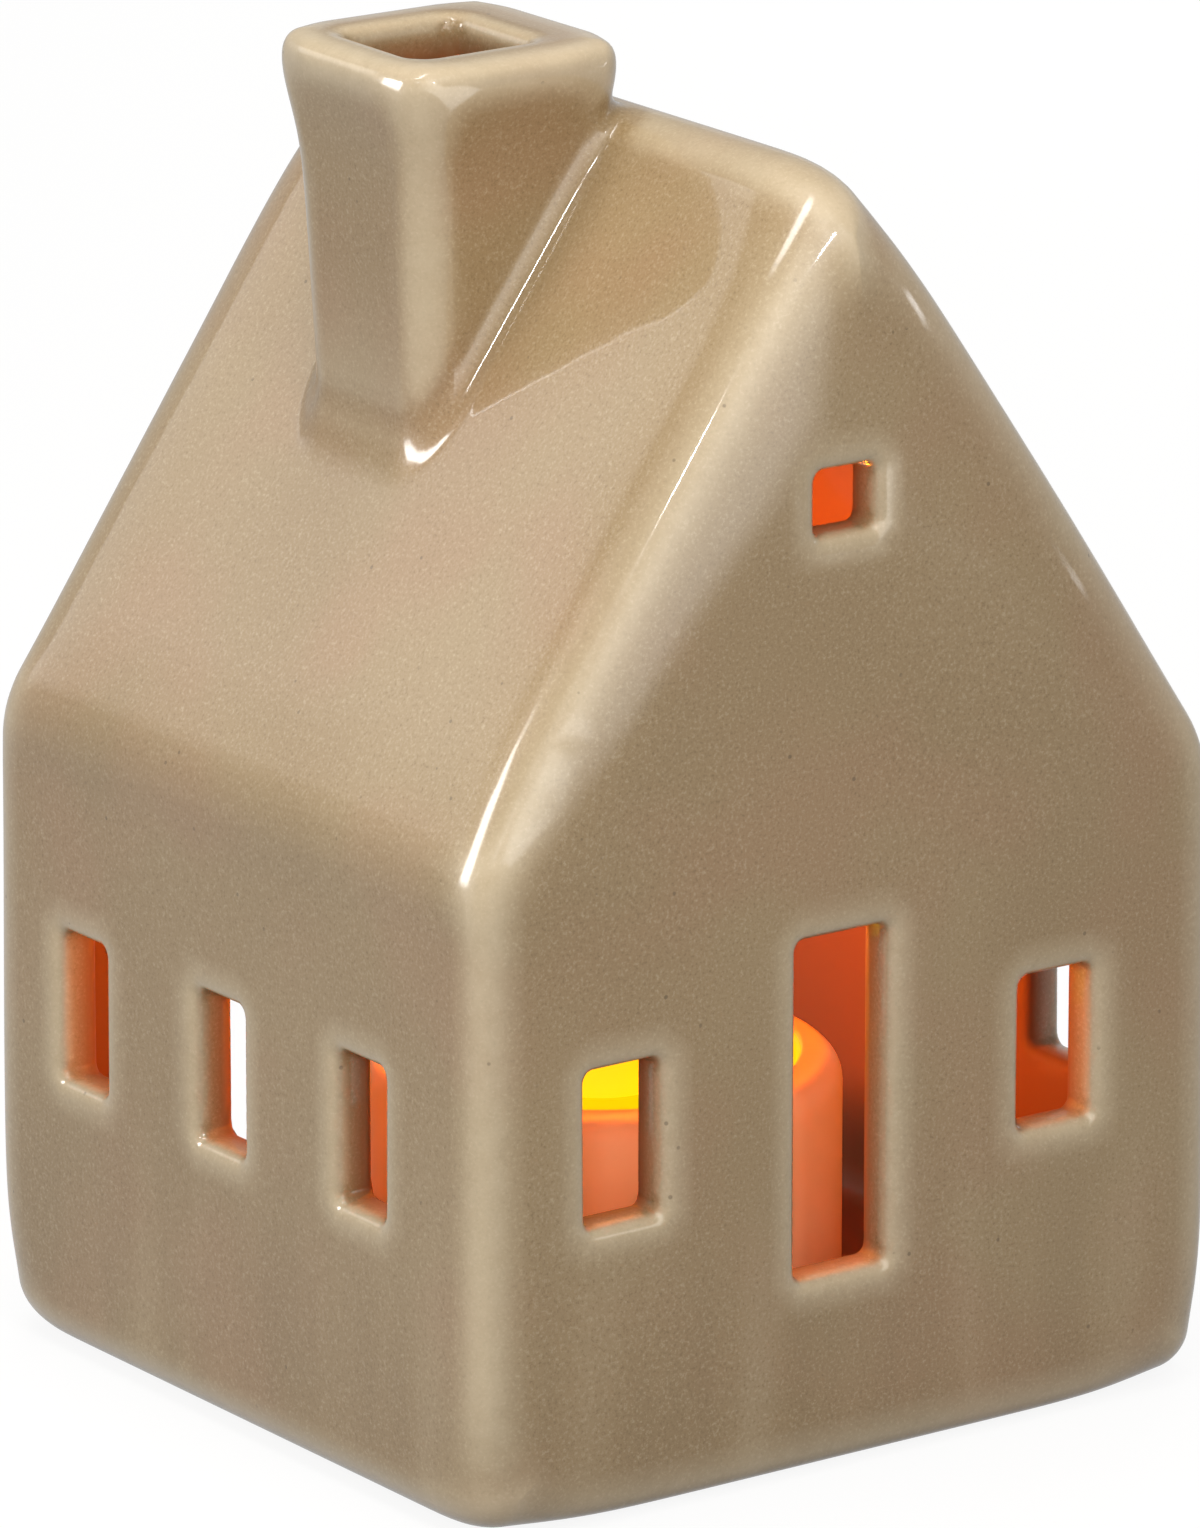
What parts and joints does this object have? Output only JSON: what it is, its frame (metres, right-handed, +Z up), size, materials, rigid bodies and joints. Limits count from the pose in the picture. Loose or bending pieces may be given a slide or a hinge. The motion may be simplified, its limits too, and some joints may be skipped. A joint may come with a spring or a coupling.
{
  "type": "tealight house",
  "caption": "Hollow glazed stoneware house with gable roof, flared open chimney, lipped windows and door; a battery tealight stands inside and slides out of the rear opening.",
  "frame": {"origin": "middle of the base, on the surface the house stands on", "axes": "+Z up, front gable with the door faces -Y, chimney on the -X slope of the roof"},
  "size_m": [0.07, 0.0674, 0.1072],
  "materials": {
    "glaze": "glossy warm taupe glaze over stoneware, paler where it thins at edges and lips, finely speckled",
    "candle_shell": "translucent moulded polypropylene, satin, glowing from inside",
    "flame_plastic": "frosted translucent plastic lit from inside",
    "diode_lens": "clear amber epoxy",
    "tinned_wire": "tinned wire",
    "board_laminate": "green solder mask over glass-fibre laminate",
    "chip_epoxy": "moulded black epoxy",
    "screw_steel": "zinc-plated",
    "base_plastic": "white moulded ABS, fine spark-eroded texture",
    "cell_steel": "nickel-plated, satin",
    "lid_plastic": "white moulded ABS, fine spark-eroded texture",
    "contact_steel": "nickel-plated strip",
    "switch_steel": "folded tin-plated steel",
    "lever_plastic": "black nylon",
    "slider_plastic": "black moulded ABS with grip ridges"
  },
  "bodies": {
    "house": {"house_shell": "glaze"},
    "tealight": {"candle_body": "candle_shell", "flame_tip": "flame_plastic", "led": "diode_lens", "led_leads": "tinned_wire", "circuit_board": "board_laminate", "control_chip": "chip_epoxy", "board_screws": "screw_steel", "base_cap": "base_plastic", "coin_cell": "cell_steel", "positive_contact": "contact_steel", "negative_contact": "contact_steel", "switch_body": "switch_steel"},
    "switch": {"switch_slider": "slider_plastic", "switch_lever": "lever_plastic"},
    "lid": {"battery_lid": "lid_plastic"}
  },
  "joints": [
    {"name": "tealight_slide", "type": "slide", "parent": "house", "child": "tealight", "axis": [0, 1, 0], "range_m": [-0.01, 0.06]},
    {"name": "power_switch", "type": "slide", "parent": "tealight", "child": "switch", "axis": [1, 0, 0], "range_m": [-0.003, 0]},
    {"name": "lid_turn", "type": "hinge", "parent": "tealight", "child": "lid", "pos_m": [0, -0.0032, 0.0052], "axis": [0, 0, 1], "range_deg": [0, 40]}
  ]
}
